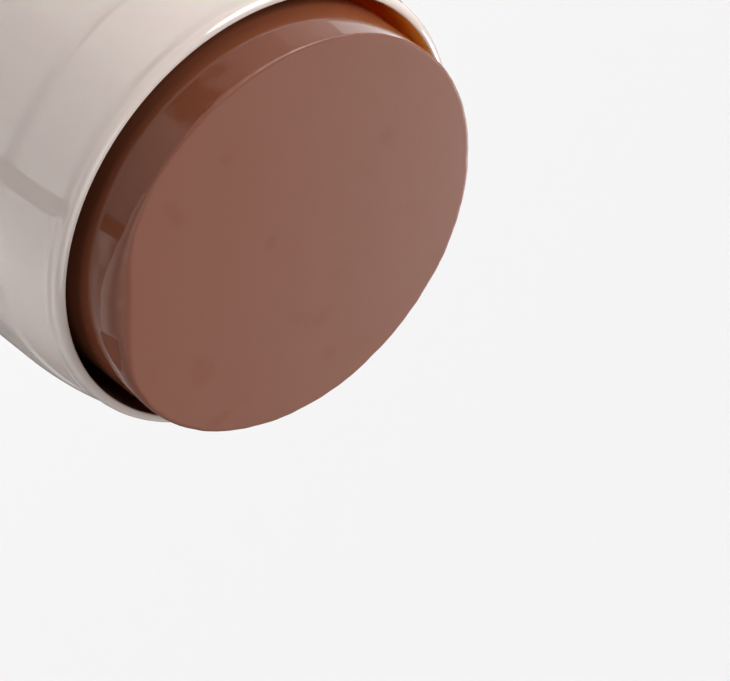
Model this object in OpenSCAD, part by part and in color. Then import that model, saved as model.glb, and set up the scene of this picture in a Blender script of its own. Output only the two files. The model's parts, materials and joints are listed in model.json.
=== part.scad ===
// Twist-up bronzer stick: a round bullet of pressed cream in a white tube,
// raised by a screw spindle that turns with the knob at the foot.
// Z runs up the stick's axis, and z = 0 is the surface that the knob stands on.

/* [Bullet] */
// Diameter of the bullet
bullet_d = 30; // [26:0.5:34]
// Length of the bullet, from the carrier's floor to its flat face
bullet_l = 34.9; // [31:0.1:42]
// Height of the face above the tube's mouth, as the stick is kept here
bullet_out = 4.2; // [2:0.1:8]
// Bevel on the edge of the face
face_edge = 0.25; // [0.1:0.05:0.6]
// Depth of the face below the mouth when it is wound right down
sink = 1.4; // [0.8:0.1:3]
// Product left between the spindle's tip and the face when it is wound right down
skin = 3; // [2:0.1:4.5]
// Film between the bullet and the moulded faces it is poured against
pour_gap = 0.02; // [0.01:0.01:0.05]

/* [Barrel] */
// Wall of the tube along the neck
barrel_wall = 1.4; // [1.2:0.05:2]
// Wall of the lip around the mouth
lip_wall = 0.7; // [0.5:0.05:1]
// Height of the lip, from the line where the shoulder ends
lip_h = 1.45; // [1:0.05:2]
// Round on the mouth's inner edge
mouth_round = 0.12; // [0.05:0.01:0.25]
// Length over which the neck curves in to the lip
shoulder_l = 5.8; // [4:0.1:8]
// Height of the wide collar, which a cap comes down to
collar_l = 20.7; // [16:0.1:24]
// Step from the neck out to the collar
collar_step = 1.25; // [1:0.05:2]
// Round on the outer edges of the collar
edge = 0.4; // [0.2:0.05:0.8]
// Height above the collar of the groove that a cap snaps into
snap_rise = 3; // [2:0.1:5]
// Height of that groove
snap_h = 1.4; // [0.8:0.1:2]
// Depth of that groove
snap_depth = 0.25; // [0.1:0.05:0.4]

/* [Carrier] */
// Wall of the carrier's cup
cup_wall = 0.8; // [0.6:0.05:1.2]
// Running gap between the cup and the tube
slide_gap = 0.13; // [0.1:0.01:0.3]
// Floor of the cup
floor_t = 1.5; // [1:0.1:2.5]
// Depth of the cup's rim below the mouth when it is wound right up
cup_inset = 1.2; // [0.5:0.1:2.5]
// Wall of the nut around the thread
nut_wall = 1.9; // [1.4:0.1:3]
// Height of the nut, from under the floor
nut_h = 8; // [6.5:0.1:9]
// Number of keys that run in the tube's guide grooves
keys = 3; // [2:1:4]
// Width of a key
key_w = 2; // [1.5:0.1:3]
// Height of a key out of the cup
key_out = 0.55; // [0.4:0.05:0.7]
// Length of a key
key_l = 5.5; // [4:0.1:7]
// Gap between a key and its groove
key_gap = 0.15; // [0.1:0.01:0.25]
// Number of fins that grip the bullet
fins = 6; // [3:1:8]
// Thickness of a fin
fin_t = 0.8; // [0.6:0.1:1.4]
// Height of a fin above the floor
fin_h = 4; // [2:0.1:6]
// Length of a fin, in from the cup's wall
fin_l = 5; // [2:0.1:6]

/* [Spindle] */
// Rise of the bullet for one turn of the knob
lead = 8; // [6:0.5:10]
// Radius of the thread's crest
crest_r = 4; // [3.8:0.1:4.6]
// Depth of the thread
thread_depth = 0.9; // [0.6:0.1:1.1]
// Gap between the spindle's thread and the nut's
thread_gap = 0.2; // [0.15:0.01:0.3]
// Thread left in the nut when it is wound right up
engaged_l = 5.8; // [5:0.1:7]
// Gap over the spindle's tip when the bullet is wound right down
tip_gap = 0.6; // [0.3:0.1:1]
// Length of the tip above the thread
tip_l = 1.4; // [0.8:0.1:2]
// Radius of the flange that bears on the plug
flange_r = 5.5; // [5:0.1:6.5]
// Thickness of the flange
flange_t = 1.3; // [1:0.1:2]
// Radius of the journal in the plug's bore
journal_r = 3.55; // [3.5:0.05:3.7]
// Running clearance of the journal in its bore
journal_gap = 0.05; // [0.02:0.01:0.09]
// End play of the spindle, and the gap at each end of the bullet's travel
stop_gap = 0.2; // [0.1:0.05:0.4]
// Width across the flats of the hexagon that drives the spindle
hex_af = 6; // [5.4:0.1:6]
// Overhang of the snap head under the knob's hub
head_out = 0.35; // [0.2:0.05:0.45]
// Height of the snap head
head_h = 1; // [0.8:0.1:1.2]
// Width of the slit that lets the snap head close
slit_w = 0.9; // [0.6:0.1:1.4]
// Depth of the friction ring's groove in the journal
ring_depth = 0.95; // [0.8:0.05:1.1]
// Height of that groove
ring_h = 1.6; // [1.4:0.1:2]
// Film between the friction ring and the faces it rubs on
ring_film = 0.02; // [0.01:0.01:0.04]

/* [Bearing plug] */
// Thickness of the plug's plate
plate_t = 2; // [1.5:0.1:2.8]
// Height of the plug's skirt
skirt_h = 4; // [3.4:0.1:4.8]
// Wall of the skirt
skirt_t = 1.2; // [1:0.1:1.6]
// Depth of the plug's seat in the tube's wall
seat_step = 0.4; // [0.3:0.05:0.6]
// Height of the boss around the plug's bore
boss_h = 5; // [4.5:0.1:6]
// Wall of that boss
boss_wall = 1.6; // [1.2:0.1:1.9]
// Height of the snap bead on the skirt
bead_h = 1; // [0.6:0.1:1.2]
// Depth of that bead
bead_out = 0.2; // [0.1:0.05:0.3]
// Gap all round a pressed or snapped joint
press_gap = 0.03; // [0.01:0.01:0.05]
// Depth of the plug inside the tube's foot
plug_inset = 0.3; // [0.2:0.05:0.6]

/* [Knob] */
// Height of the knob
knob_h = 11; // [10:0.1:14]
// Gap between the knob and the tube
run_gap = 0.3; // [0.2:0.05:0.5]
// Outer wall of the knob
knob_wall = 1.7; // [1.5:0.1:2.2]
// Thickness of the knob's top
web_t = 1.6; // [1.2:0.1:2.2]
// Wall of the hub around the hexagon
hub_wall = 1.5; // [1.2:0.1:2]
// Number of ribs under the knob's top
ribs = 6; // [3:1:8]
// Thickness of a rib
rib_t = 0.9; // [0.7:0.1:1.4]
// Height of the open space between the base disc and the hub
hub_lift = 1.5; // [1.3:0.1:2]
// Thickness of the base disc
disc_t = 1.2; // [0.8:0.1:1.8]
// Depth of the base disc inside the knob's rim
disc_inset = 0.3; // [0.1:0.05:0.6]
// Width of the ledge that the base disc seats on
ledge_w = 0.7; // [0.5:0.05:1]
// Round on the rim that the knob stands on
rim_edge = 0.3; // [0.2:0.05:0.5]

/* [Hidden] */
$fn = 128;
// Depth that a cut runs past the face it goes through
cut = 1;
// Depth that a joined form is sunk into what carries it
sunk = 0.4;
// Turn of the thread in one slice, in degrees
thread_step = 12;
// Starts of the thread
starts = 2;
// Shares of one pitch: the crest, and each flank
crest_share = 0.34;
flank_share = 0.14;
// Chamfer on the base disc, on the seat's mouth and on the plug's lower edge
lead_in = 0.3;

// Radii, from the bullet outwards
bullet_r = bullet_d / 2;
cup_in_r = bullet_r + pour_gap;
cup_out_r = cup_in_r + cup_wall;
bore_r = cup_out_r + slide_gap;
barrel_r = bore_r + barrel_wall;
lip_r = bore_r + lip_wall;
collar_r = barrel_r + collar_step;
key_r = cup_out_r + key_out;
groove_r = key_r + key_gap;
groove_w = key_w + 2 * key_gap;
seat_r = bore_r + seat_step;
plug_r = seat_r - press_gap;
root_r = crest_r - thread_depth;
nut_r = crest_r + thread_gap + nut_wall;
hollow_r = crest_r + thread_gap + 0.1;
plug_bore_r = journal_r + journal_gap;
boss_r = plug_bore_r + boss_wall;
ring_in_r = journal_r - ring_depth + ring_film;
ring_out_r = plug_bore_r - ring_film;
hex_r = hex_af / 2 / cos(30);
head_r = journal_r + head_out;
socket_r = (hex_af / 2 + press_gap) / cos(30);
hub_r = socket_r + hub_wall;
knob_in_r = collar_r - knob_wall;
disc_seat_r = knob_in_r + ledge_w;
disc_r = disc_seat_r - press_gap;

// Heights, from the foot up
disc_z = disc_inset;
disc_top = disc_z + disc_t;
hub_z = disc_top + hub_lift;
barrel_z = knob_h + run_gap;
plug_z = barrel_z + plug_inset;
plate_top = plug_z + plate_t;
skirt_top = plug_z + skirt_h;
bead_z = skirt_top - bead_h;
boss_top = plug_z + boss_h;
flange_z = boss_top + stop_gap / 2;
thread_z = flange_z + flange_t;
ring_z = plug_z + boss_h / 2;
retract = bullet_out + sink;
carrier_z = thread_z + stop_gap + retract;
floor_top = carrier_z + floor_t;
nut_top = carrier_z + nut_h;
face_z = floor_top + bullet_l;
mouth_z = face_z - bullet_out;
spindle_top = face_z - retract - skin - tip_gap;
thread_top = spindle_top - tip_l;
extend = thread_top - engaged_l - carrier_z;
hollow_top = spindle_top + tip_gap + retract;
cup_top = mouth_z - cup_inset - extend;
groove_top = carrier_z + key_l + extend + stop_gap;
kink_z = mouth_z - lip_h;
shoulder_z = kink_z - shoulder_l;
collar_top = barrel_z + collar_l;
snap_z = collar_top + snap_rise;

// Points of an arc about c with radii rx and rz, from angle a0 to a1
function arc(c, rx, rz, a0, a1, n = 6) =
    [for (i = [0:n]) let (a = a0 + (a1 - a0) * i / n) [c[0] + rx * cos(a), c[1] + rz * sin(a)]];

// The shoulder: the neck leaves the straight as a parabola, and ends at the lip's foot
function shoulder(n = 12) =
    [for (i = [0:n]) let (s = i / n) [barrel_r - (barrel_r - lip_r) * s * s, shoulder_z + shoulder_l * s]];

// The thread's outline across the axis, with its crests grown by gap outwards and sideways
function thread_outline(gap) =
    let (pitch = 360 / starts,
         side = 360 * gap / lead,
         crest = crest_share * pitch / 2 + side,
         flank = flank_share * pitch,
         top = crest_r + gap,
         root = root_r + gap,
         low = pitch - 2 * (crest + flank))
    [for (s = [0:starts - 1], p = [
        [top, -crest], [top, -crest / 3], [top, crest / 3], [top, crest],
        [(top + root) / 2, crest + flank / 2], [root, crest + flank],
        [root, crest + flank + low / 4], [root, crest + flank + low / 2],
        [root, crest + flank + low * 3 / 4], [root, crest + flank + low],
        [(top + root) / 2, crest + flank * 1.5 + low]])
        p[0] * [cos(p[1] + s * pitch), sin(p[1] + s * pitch)]];

// A stretch of the left-handed thread from z0 up to z1, in step with every other stretch
module thread(z0, z1, gap = 0) {
    turn = 360 * (z1 - z0) / lead;
    translate([0, 0, z0]) rotate(-360 * (z0 - thread_z) / lead)
        linear_extrude(height = z1 - z0, twist = turn, slices = ceil(turn / thread_step),
                       $fn = len(thread_outline(gap)))
            polygon(thread_outline(gap));
}

// Copies of a form around the axis
module around(count) {
    for (i = [0:count - 1]) rotate(360 * i / count) children();
}

// A bar along +X from r0 to r1, of width w, from z0 to z1
module bar(r0, r1, w, z0, z1) {
    translate([r0, -w / 2, z0]) cube([r1 - r0, w, z1 - z0]);
}

// The tube: collar, neck, shoulder and lip outside, seat for the plug and guide grooves inside
module barrel() {
    color("white")
    difference() {
        rotate_extrude() polygon(concat(
            [[seat_r + lead_in / 2, barrel_z]],
            arc([collar_r - edge, barrel_z + edge], edge, edge, -90, 0),
            arc([collar_r - edge, collar_top - edge], edge, edge, 0, 90),
            [[barrel_r, collar_top],
             [barrel_r, snap_z],
             [barrel_r - snap_depth, snap_z + snap_h / 4],
             [barrel_r - snap_depth, snap_z + snap_h * 3 / 4],
             [barrel_r, snap_z + snap_h]],
            shoulder(),
            arc([bore_r + mouth_round, kink_z + lip_h / 2], lip_wall - mouth_round, lip_h / 2, 0, 90),
            arc([bore_r + mouth_round, mouth_z - mouth_round], mouth_round, mouth_round, 100, 180, 4),
            [[bore_r, skirt_top],
             [seat_r, skirt_top],
             [seat_r, bead_z + bead_h / 2],
             [seat_r + bead_out, bead_z],
             [seat_r, bead_z - bead_h / 2],
             [seat_r, barrel_z + lead_in / 2]]));
        around(keys) bar(bore_r - cut, groove_r, groove_w, barrel_z - cut, groove_top);
    }
}

// The plug that closes the tube's foot and carries the spindle's journal
module bearing_plug() {
    color("gainsboro")
    union() {
        rotate_extrude() polygon([
            [plug_bore_r, plug_z],
            [plug_r - lead_in, plug_z],
            [plug_r, plug_z + lead_in],
            [plug_r, bead_z - bead_h / 2],
            [plug_r + bead_out, bead_z],
            [plug_r, bead_z + bead_h / 2],
            [plug_r, skirt_top],
            [plug_r - skirt_t, skirt_top],
            [plug_r - skirt_t, plate_top],
            [boss_r, plate_top],
            [boss_r, boss_top],
            [plug_bore_r, boss_top]]);
        around(keys) bar(plug_r - skirt_t / 2, groove_r - press_gap, key_w,
                         plug_z + 2 * lead_in, bead_z - bead_h / 2 - lead_in);
    }
}

// The screw: snap head and hexagon in the knob, journal in the plug, flange, thread and tip
module spindle() {
    color("silver")
    union() {
        difference() {
            union() {
                translate([0, 0, hub_z - press_gap]) cylinder(r = hex_r, h = plug_z - hub_z, $fn = 6);
                translate([0, 0, hub_z - press_gap - head_h])
                    cylinder(r1 = head_r - head_out * 2, r2 = head_r, h = head_h);
            }
            translate([-head_r - cut, -slit_w / 2, hub_z - head_h - cut])
                cube([2 * (head_r + cut), slit_w, cut + head_h + (knob_h - hub_z) * 0.6]);
        }
        rotate_extrude() polygon([
            [0, plug_z - run_gap],
            [journal_r, plug_z - run_gap],
            [journal_r, ring_z - ring_h / 2],
            [journal_r - ring_depth, ring_z - ring_h / 2],
            [journal_r - ring_depth, ring_z + ring_h / 2],
            [journal_r, ring_z + ring_h / 2],
            [journal_r, flange_z],
            [flange_r, flange_z],
            [flange_r, thread_z],
            [0, thread_z]]);
        thread(thread_z - sunk, thread_top);
        translate([0, 0, thread_top - sunk]) cylinder(r = root_r - thread_gap, h = tip_l / 2 + sunk);
        translate([0, 0, thread_top + tip_l / 2])
            cylinder(r1 = root_r - thread_gap, r2 = root_r / 2, h = tip_l / 2);
    }
}

// The elastic ring in the journal's groove, as squeezed there
module friction_ring() {
    ring_t = ring_out_r - ring_in_r;
    straight = ring_h - 2 * ring_film - ring_t;
    color("dimgray")
    rotate_extrude() translate([(ring_in_r + ring_out_r) / 2, ring_z]) union() {
        square([ring_t, straight], center = true);
        for (s = [-1, 1]) translate([0, s * straight / 2]) circle(d = ring_t);
    }
}

// Fins on the carrier's floor, or with a gap the slots that they leave in the bullet
module fin_set(gap = 0) {
    around(fins) bar(cup_in_r - fin_l - gap, cup_in_r + pour_gap, fin_t + 2 * gap,
                     floor_top - pour_gap, floor_top + fin_h + gap);
}

// The cup that holds the bullet, with its nut on the spindle and its keys in the grooves
module carrier() {
    color("whitesmoke")
    difference() {
        union() {
            rotate_extrude() polygon([
                [0, carrier_z],
                [cup_out_r, carrier_z],
                [cup_out_r, cup_top],
                [cup_in_r, cup_top],
                [cup_in_r, floor_top],
                [nut_r, floor_top],
                [nut_r, nut_top],
                [0, nut_top]]);
            around(keys) bar(cup_out_r - cup_wall / 2, key_r, key_w, carrier_z, carrier_z + key_l);
            fin_set();
        }
        thread(carrier_z - cut, nut_top + cut, thread_gap);
    }
}

// The bullet of product, hollow along the spindle's path
module bullet() {
    color([0.53, 0.37, 0.31])
    difference() {
        rotate_extrude() polygon([
            [0, hollow_top],
            [hollow_r, hollow_top],
            [hollow_r, nut_top + pour_gap],
            [nut_r + pour_gap, nut_top + pour_gap],
            [nut_r + pour_gap, floor_top + pour_gap],
            [bullet_r, floor_top + pour_gap],
            [bullet_r, face_z - face_edge],
            [bullet_r - face_edge, face_z],
            [0, face_z]]);
        fin_set(pour_gap);
    }
}

// The knob: outer wall, top, ribs and the hub that takes the spindle's hexagon
module twist_knob() {
    color("white")
    difference() {
        union() {
            rotate_extrude() polygon(concat(
                [[0, hub_z],
                 [hub_r, hub_z],
                 [hub_r, knob_h - web_t],
                 [knob_in_r, knob_h - web_t],
                 [knob_in_r, disc_top],
                 [disc_seat_r, disc_top],
                 [disc_seat_r, 0]],
                arc([collar_r - rim_edge, rim_edge], rim_edge, rim_edge, -90, 0, 4),
                arc([collar_r - edge, knob_h - edge], edge, edge, 0, 90),
                [[0, knob_h]]));
            around(ribs) bar(hub_r - hub_wall / 2, knob_in_r + knob_wall / 2, rib_t, hub_z, knob_h - web_t / 2);
        }
        translate([0, 0, hub_z - cut]) cylinder(r = socket_r, h = knob_h, $fn = 6);
    }
}

// The disc that closes the knob from below
module base_disc() {
    color("whitesmoke")
    rotate_extrude() polygon([
        [0, disc_z],
        [disc_r - lead_in, disc_z],
        [disc_r, disc_z + lead_in],
        [disc_r, disc_top],
        [0, disc_top]]);
}

barrel();
bearing_plug();
spindle();
friction_ring();
carrier();
bullet();
twist_knob();
base_disc();
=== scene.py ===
"""Looks of a twist-up bronzer stick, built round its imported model.

The stick stands on its knob, with its axis along +Z. Sizes are in millimetres until a mesh is
made, which is in metres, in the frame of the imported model. Angles round the axis count from +X.
"""

import json
import logging
import math
from collections.abc import Callable
from dataclasses import dataclass, replace
from enum import Enum

import bpy
import numpy as np
from mathutils import Matrix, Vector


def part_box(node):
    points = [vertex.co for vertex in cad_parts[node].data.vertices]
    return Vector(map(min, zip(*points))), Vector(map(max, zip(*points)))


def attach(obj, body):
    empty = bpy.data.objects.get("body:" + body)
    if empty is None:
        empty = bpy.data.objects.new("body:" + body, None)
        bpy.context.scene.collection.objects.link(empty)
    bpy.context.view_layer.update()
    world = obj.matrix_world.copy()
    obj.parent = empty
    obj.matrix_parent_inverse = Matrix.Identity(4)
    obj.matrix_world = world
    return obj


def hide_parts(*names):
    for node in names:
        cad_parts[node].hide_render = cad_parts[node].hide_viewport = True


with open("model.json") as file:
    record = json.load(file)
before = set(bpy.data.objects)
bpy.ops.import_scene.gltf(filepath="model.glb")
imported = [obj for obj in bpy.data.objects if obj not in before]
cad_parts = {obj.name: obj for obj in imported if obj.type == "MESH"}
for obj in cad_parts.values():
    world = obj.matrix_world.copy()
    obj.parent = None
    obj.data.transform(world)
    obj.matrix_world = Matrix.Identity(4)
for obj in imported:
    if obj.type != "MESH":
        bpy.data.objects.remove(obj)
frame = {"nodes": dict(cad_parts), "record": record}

log = logging.getLogger("bronzer_stick")

MM = 0.001
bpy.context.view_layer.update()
PHOTO_WIDTH, PHOTO_HEIGHT = 730, 681
SENSOR_WIDTH = 36.0
WELD_STEP = 1e-4
CREASE_ANGLE = math.radians(32)
# Share of light that leaves the white of the floor and the backdrop
PAPER_WHITE = 0.92
# What brings a noise node's stray from its middle to about -1 to 1
NOISE_SPREAD = 2.6

Profile = np.ndarray
Colour = tuple[float, float, float]


class Body(Enum):
    """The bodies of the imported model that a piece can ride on."""

    BARREL = "barrel"
    KNOB = "knob"
    BULLET = "bullet"


class Slot(Enum):
    """The record's material slots that the new pieces take."""

    BARREL = "barrel_white"
    BRONZER = "bronzer"
    KNOB = "knob_white"
    DISC = "disc_white"


def node_top(node: str) -> float:
    """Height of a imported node's highest point, in millimetres."""
    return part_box(node)[1].z / MM


def node_foot(node: str) -> float:
    """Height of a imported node's lowest point, in millimetres."""
    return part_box(node)[0].z / MM


def node_radius(node: str) -> float:
    """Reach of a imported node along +X, in millimetres."""
    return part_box(node)[1].x / MM


def mount_size(name: str, size: str) -> float:
    """A size in millimetres of one of the record's mounts."""
    return next(m for m in frame["record"]["mounts"] if m["name"] == name)["dims"][size]


def stretch(start: tuple[float, float], end: tuple[float, float], steps: int = 1,
            guard: float = 0.0) -> Profile:
    """A straight stretch of a profile.

    Formula: start + (end - start) * t, with t evenly spaced, and one more point at the distance
    guard from each end, which keeps the shading of a round next to it off this stretch.

    Args:
        start: Radius and height where the stretch begins.
        end: Radius and height where it ends.
        steps: Number of even steps.
        guard: Distance of the extra points from the ends, or 0 for none.

    Returns:
        The points, one row of radius and height each.
    """
    a, b = np.array(start, float), np.array(end, float)
    share = np.linspace(0, 1, steps + 1)
    if guard > 0:
        near = guard / np.linalg.norm(b - a)
        share = np.unique(np.concatenate([share, [near, 1 - near]]))
    return a + (b - a) * share[:, None]


def arc(centre: tuple[float, float], radii: tuple[float, float], turn: tuple[float, float],
        steps: int = 8) -> Profile:
    """A stretch of an ellipse in a profile.

    Formula: centre + (rx cos a, rz sin a), with a evenly spaced from the first to the last angle.

    Args:
        centre: Radius and height of the ellipse's centre.
        radii: Half its width and half its height.
        turn: First and last angle, in degrees.
        steps: Number of even steps.

    Returns:
        The points, one row of radius and height each.
    """
    a = np.radians(np.linspace(*turn, steps + 1))
    return np.stack([centre[0] + radii[0] * np.cos(a), centre[1] + radii[1] * np.sin(a)], axis=1)


def corner(before: tuple[float, float], tip: tuple[float, float], after: tuple[float, float],
           steps: int = 8) -> Profile:
    """A soft corner between two stretches of a profile.

    Formula: the quadratic Bezier curve (1-t)^2 before + 2t(1-t) tip + t^2 after.

    Args:
        before: Point on the first stretch where the corner begins.
        tip: Point where the two stretches would meet.
        after: Point on the second stretch where the corner ends.
        steps: Number of even steps of t.

    Returns:
        The points, one row of radius and height each.
    """
    p, q, r = (np.array(x, float) for x in (before, tip, after))
    t = np.linspace(0, 1, steps + 1)[:, None]
    return (1 - t) ** 2 * p + 2 * t * (1 - t) * q + t ** 2 * r


def join(*parts: Profile) -> Profile:
    """Puts profile stretches end to end.

    Args:
        parts: The stretches, in order.

    Returns:
        Their points, without those that repeat.
    """
    points = np.concatenate([np.atleast_2d(np.array(p, float)) for p in parts])
    moved = np.linalg.norm(np.diff(points, axis=0), axis=1) > WELD_STEP
    return points[np.concatenate([[True], moved])]


@dataclass(frozen=True)
class Columns:
    """Columns of a mesh that goes round the axis, past slots, grooves or ribs with parallel sides.

    Each feature is centred on an angle k * 360 / features. Its side walls get two columns each,
    one that follows the form beside the feature and one that follows the form inside it.
    """

    between: int
    features: int = 1
    width: float = 0.0
    inside: int = 2
    least_radius: float = 3.0

    @property
    def is_inside(self) -> np.ndarray:
        """True for the columns that follow the form inside a feature."""
        return np.tile(np.r_[np.ones(self.inside, bool), np.zeros(self.between, bool)], self.features)

    def sideways(self) -> np.ndarray:
        """Distance of each inside column from its feature's middle plane; 0 for the others."""
        across = np.linspace(-0.5, 0.5, self.inside) * self.width
        return np.tile(np.r_[across, np.zeros(self.between)], self.features)

    def angles(self, radius: np.ndarray) -> np.ndarray:
        """Angle of every point of the mesh.

        Formula: an inside column at the distance y from the middle plane is at asin(y / radius),
        and the columns between two features share out what lies between asin(+-width/2 / radius).

        Args:
            radius: Radius of every point, rows by columns.

        Returns:
            The angles in radians, rows by columns.
        """
        held = np.maximum(radius, self.least_radius)
        sector = 2 * math.pi / self.features
        middle = np.repeat(np.arange(self.features) * sector, self.inside + self.between)
        share = np.tile(np.r_[np.zeros(self.inside), np.linspace(0, 1, self.between)], self.features)
        half = np.arcsin(self.width / 2 / held)
        inner = np.arcsin(self.sideways() / held)
        return middle + np.where(self.is_inside, inner, half + share * (sector - 2 * half))


@dataclass(frozen=True)
class Spots:
    """Places of a mesh's points round the axis, rows by columns."""

    radius: np.ndarray
    angle: np.ndarray
    height: np.ndarray

    def points(self) -> np.ndarray:
        """The points in x, y and z: (r cos a, r sin a, z)."""
        x, y = self.radius * np.cos(self.angle), self.radius * np.sin(self.angle)
        return np.stack([x, y, self.height], axis=2)


Reshape = Callable[[Spots], Spots]
Zones = Callable[[Spots], np.ndarray]


@dataclass(frozen=True)
class Skin:
    """A closed surface in millimetres: points, faces by their corners, and each face's finish."""

    points: np.ndarray
    faces: list[np.ndarray]
    finish: np.ndarray


def facing_out(points: np.ndarray, quads: np.ndarray) -> np.ndarray:
    """Turns the quads of a closed surface round if they face inwards.

    Formula: a sixth of the sum of a . (b x c) over all triangles is the volume, which is
    negative if the faces point inwards.

    Args:
        points: Points of the surface.
        quads: Corners of its faces.

    Returns:
        The quads, in an order that faces outwards.
    """
    a, b, c, d = (points[quads[:, k]] for k in range(4))
    volume = np.einsum("ij,ij->", a, np.cross(b, c)) + np.einsum("ij,ij->", a, np.cross(c, d))
    return quads[:, ::-1] if volume < 0 else quads


def weld(points: np.ndarray, quads: np.ndarray, finish: np.ndarray) -> Skin:
    """Joins the points that lie in one place, so that seams and poles close.

    A quad that loses one corner becomes a triangle, and one that loses two is dropped.

    Args:
        points: Points of the surface.
        quads: Corners of its faces.
        finish: Finish of each face.

    Returns:
        The closed surface.
    """
    keys = np.round(points / WELD_STEP).astype(np.int64)
    _, first, inverse = np.unique(keys, axis=0, return_index=True, return_inverse=True)
    quads = inverse.reshape(-1)[quads]
    repeats = quads == np.roll(quads, -1, axis=1)
    lost = repeats.sum(axis=1)
    triangles = quads[lost == 1][~repeats[lost == 1]].reshape(-1, 3)
    return Skin(points[first], [quads[lost == 0], triangles],
                np.r_[finish[lost == 0], finish[lost == 1]])


def ring_skin(columns: Columns, beside: Profile, inside: Profile | None = None,
              loop: bool = True, reshape: Reshape | None = None,
              zones: Zones | None = None) -> Skin:
    """A surface that goes all the way round the axis.

    Formula: radius and height come from the profile of a point's column, and its angle from the
    columns. Where the two profiles differ, the form inside a feature ends in a plane: there the
    radius is the hypotenuse of the profile's radius and the distance from the middle.

    Args:
        columns: Columns round the axis.
        beside: Profile of the columns beside the features.
        inside: Profile of the columns inside them, with as many points, or None if the same.
        loop: Whether the profile's last point goes back to its first.
        reshape: Moves the points, or None.
        zones: Gives the finish of each point, where it is before the reshape, or None for one.

    Returns:
        The closed surface.
    """
    inside = beside if inside is None else inside
    flat = np.linalg.norm(inside - beside, axis=1) > WELD_STEP
    plane = np.where(flat[:, None], np.hypot(inside[:, :1], columns.sideways()), inside[:, :1])
    radius = np.where(columns.is_inside, plane, beside[:, :1])
    height = np.where(columns.is_inside, inside[:, 1:], beside[:, 1:])
    spots = Spots(radius, columns.angles(radius), height)
    zone = np.zeros(radius.shape, int) if zones is None else zones(spots)
    points = (spots if reshape is None else reshape(spots)).points()
    rows, count = radius.shape
    index = np.arange(rows * count).reshape(rows, count)
    lower = index if loop else index[:-1]
    upper = np.roll(index, -1, axis=0) if loop else index[1:]
    quads = np.stack([lower, np.roll(lower, -1, axis=1), np.roll(upper, -1, axis=1), upper], axis=2)
    points, quads = points.reshape(-1, 3), quads.reshape(-1, 4)
    return weld(points, facing_out(points, quads), zone[:len(lower)].reshape(-1))


def put(name: str, data: bpy.types.ID) -> bpy.types.Object:
    """Puts a mesh, lamp or camera into the scene.

    Args:
        name: Name of its object.
        data: The mesh, lamp or camera.

    Returns:
        Its object.
    """
    made = bpy.data.objects.new(name, data)
    bpy.context.scene.collection.objects.link(made)
    return made


def make_piece(name: str, skin: Skin, finishes: list[bpy.types.Material], body: Body,
               node: str) -> bpy.types.Object:
    """Puts a surface into a mesh, in metres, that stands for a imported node.

    Args:
        name: Name of the piece.
        skin: Its surface.
        finishes: Materials, in the order of the skin's finish numbers.
        body: Body that it rides on.
        node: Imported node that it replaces.

    Returns:
        The piece's object.
    """
    mesh = bpy.data.meshes.new(name)
    corners = [face for part in skin.faces for face in part.tolist()]
    mesh.from_pydata((skin.points * MM).tolist(), [], corners)
    for material in finishes:
        mesh.materials.append(material)
    mesh.polygons.foreach_set("material_index", skin.finish.astype(np.int32))
    mesh.shade_smooth()
    mesh.set_sharp_from_angle(angle=CREASE_ANGLE)
    mesh.update()
    piece = put(name, mesh)
    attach(piece, body.value)
    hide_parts(node)
    log.info("%s: %d points, %d faces", name, len(mesh.vertices), len(mesh.polygons))
    return piece


Socket = bpy.types.NodeSocket
Feed = Socket | float | tuple[float, ...]


class NodeTree:
    """A hand on a shader node tree, which adds nodes and feeds their sockets."""

    def __init__(self, tree: bpy.types.NodeTree) -> None:
        """Holds the tree that nodes are added to."""
        self.tree = tree

    @classmethod
    def bare(cls, owner: bpy.types.Material | bpy.types.World) -> "NodeTree":
        """Empties the tree of a material or the world.

        Args:
            owner: The material or world.

        Returns:
            A hand on its tree.
        """
        owner.use_nodes = True
        owner.node_tree.nodes.clear()
        return cls(owner.node_tree)

    def feed(self, socket: Socket, value: Feed) -> None:
        """Links another node's output to a socket, or sets the socket's own value.

        Args:
            socket: The socket.
            value: The output to link, or the value to set.
        """
        if isinstance(value, Socket):
            self.tree.links.new(value, socket)
        else:
            socket.default_value = value

    def add(self, kind: str, feeds: dict[str | int, Feed] | None = None,
            **settings: object) -> bpy.types.Node:
        """Adds a node.

        Args:
            kind: Blender's name of the node's type, without the leading ShaderNode.
            feeds: What goes into its sockets, by name or place.
            settings: The node's own properties.

        Returns:
            The node.
        """
        node = self.tree.nodes.new("ShaderNode" + kind)
        for key, value in settings.items():
            setattr(node, key, value)
        for key, value in (feeds or {}).items():
            self.feed(node.inputs[key], value)
        return node

    def math(self, operation: str, *values: Feed, clamp: bool = False) -> Socket:
        """The output of a Math node on the given values."""
        node = self.add("Math", dict(enumerate(values)), operation=operation, use_clamp=clamp)
        return node.outputs[0]

    def mix(self, share: Feed, first: Feed, second: Feed) -> Socket:
        """Adds a Mix node for colours.

        Args:
            share: How far it goes from the first colour to the second.
            first: The first colour.
            second: The second colour.

        Returns:
            The mixed colour.
        """
        node = self.add("Mix", data_type="RGBA")
        for place, value in zip((0, 6, 7), (share, first, second)):
            self.feed(node.inputs[place], (*value, 1.0) if isinstance(value, tuple) else value)
        return node.outputs[2]

    def parts(self, coordinates: str = "Object") -> list[Socket]:
        """The x, y and z of one kind of texture coordinates."""
        return list(self.add("SeparateXYZ", {0: self.add("TexCoord").outputs[coordinates]}).outputs)

    def place(self, group: bpy.types.NodeTree, **values: float) -> Socket:
        """Places a shared group.

        Args:
            group: The group.
            values: Values for its inputs, by their names.

        Returns:
            The group's output.
        """
        node = self.add("Group", node_tree=group)
        for key, value in values.items():
            node.inputs[key].default_value = value
        return node.outputs[0]


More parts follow.
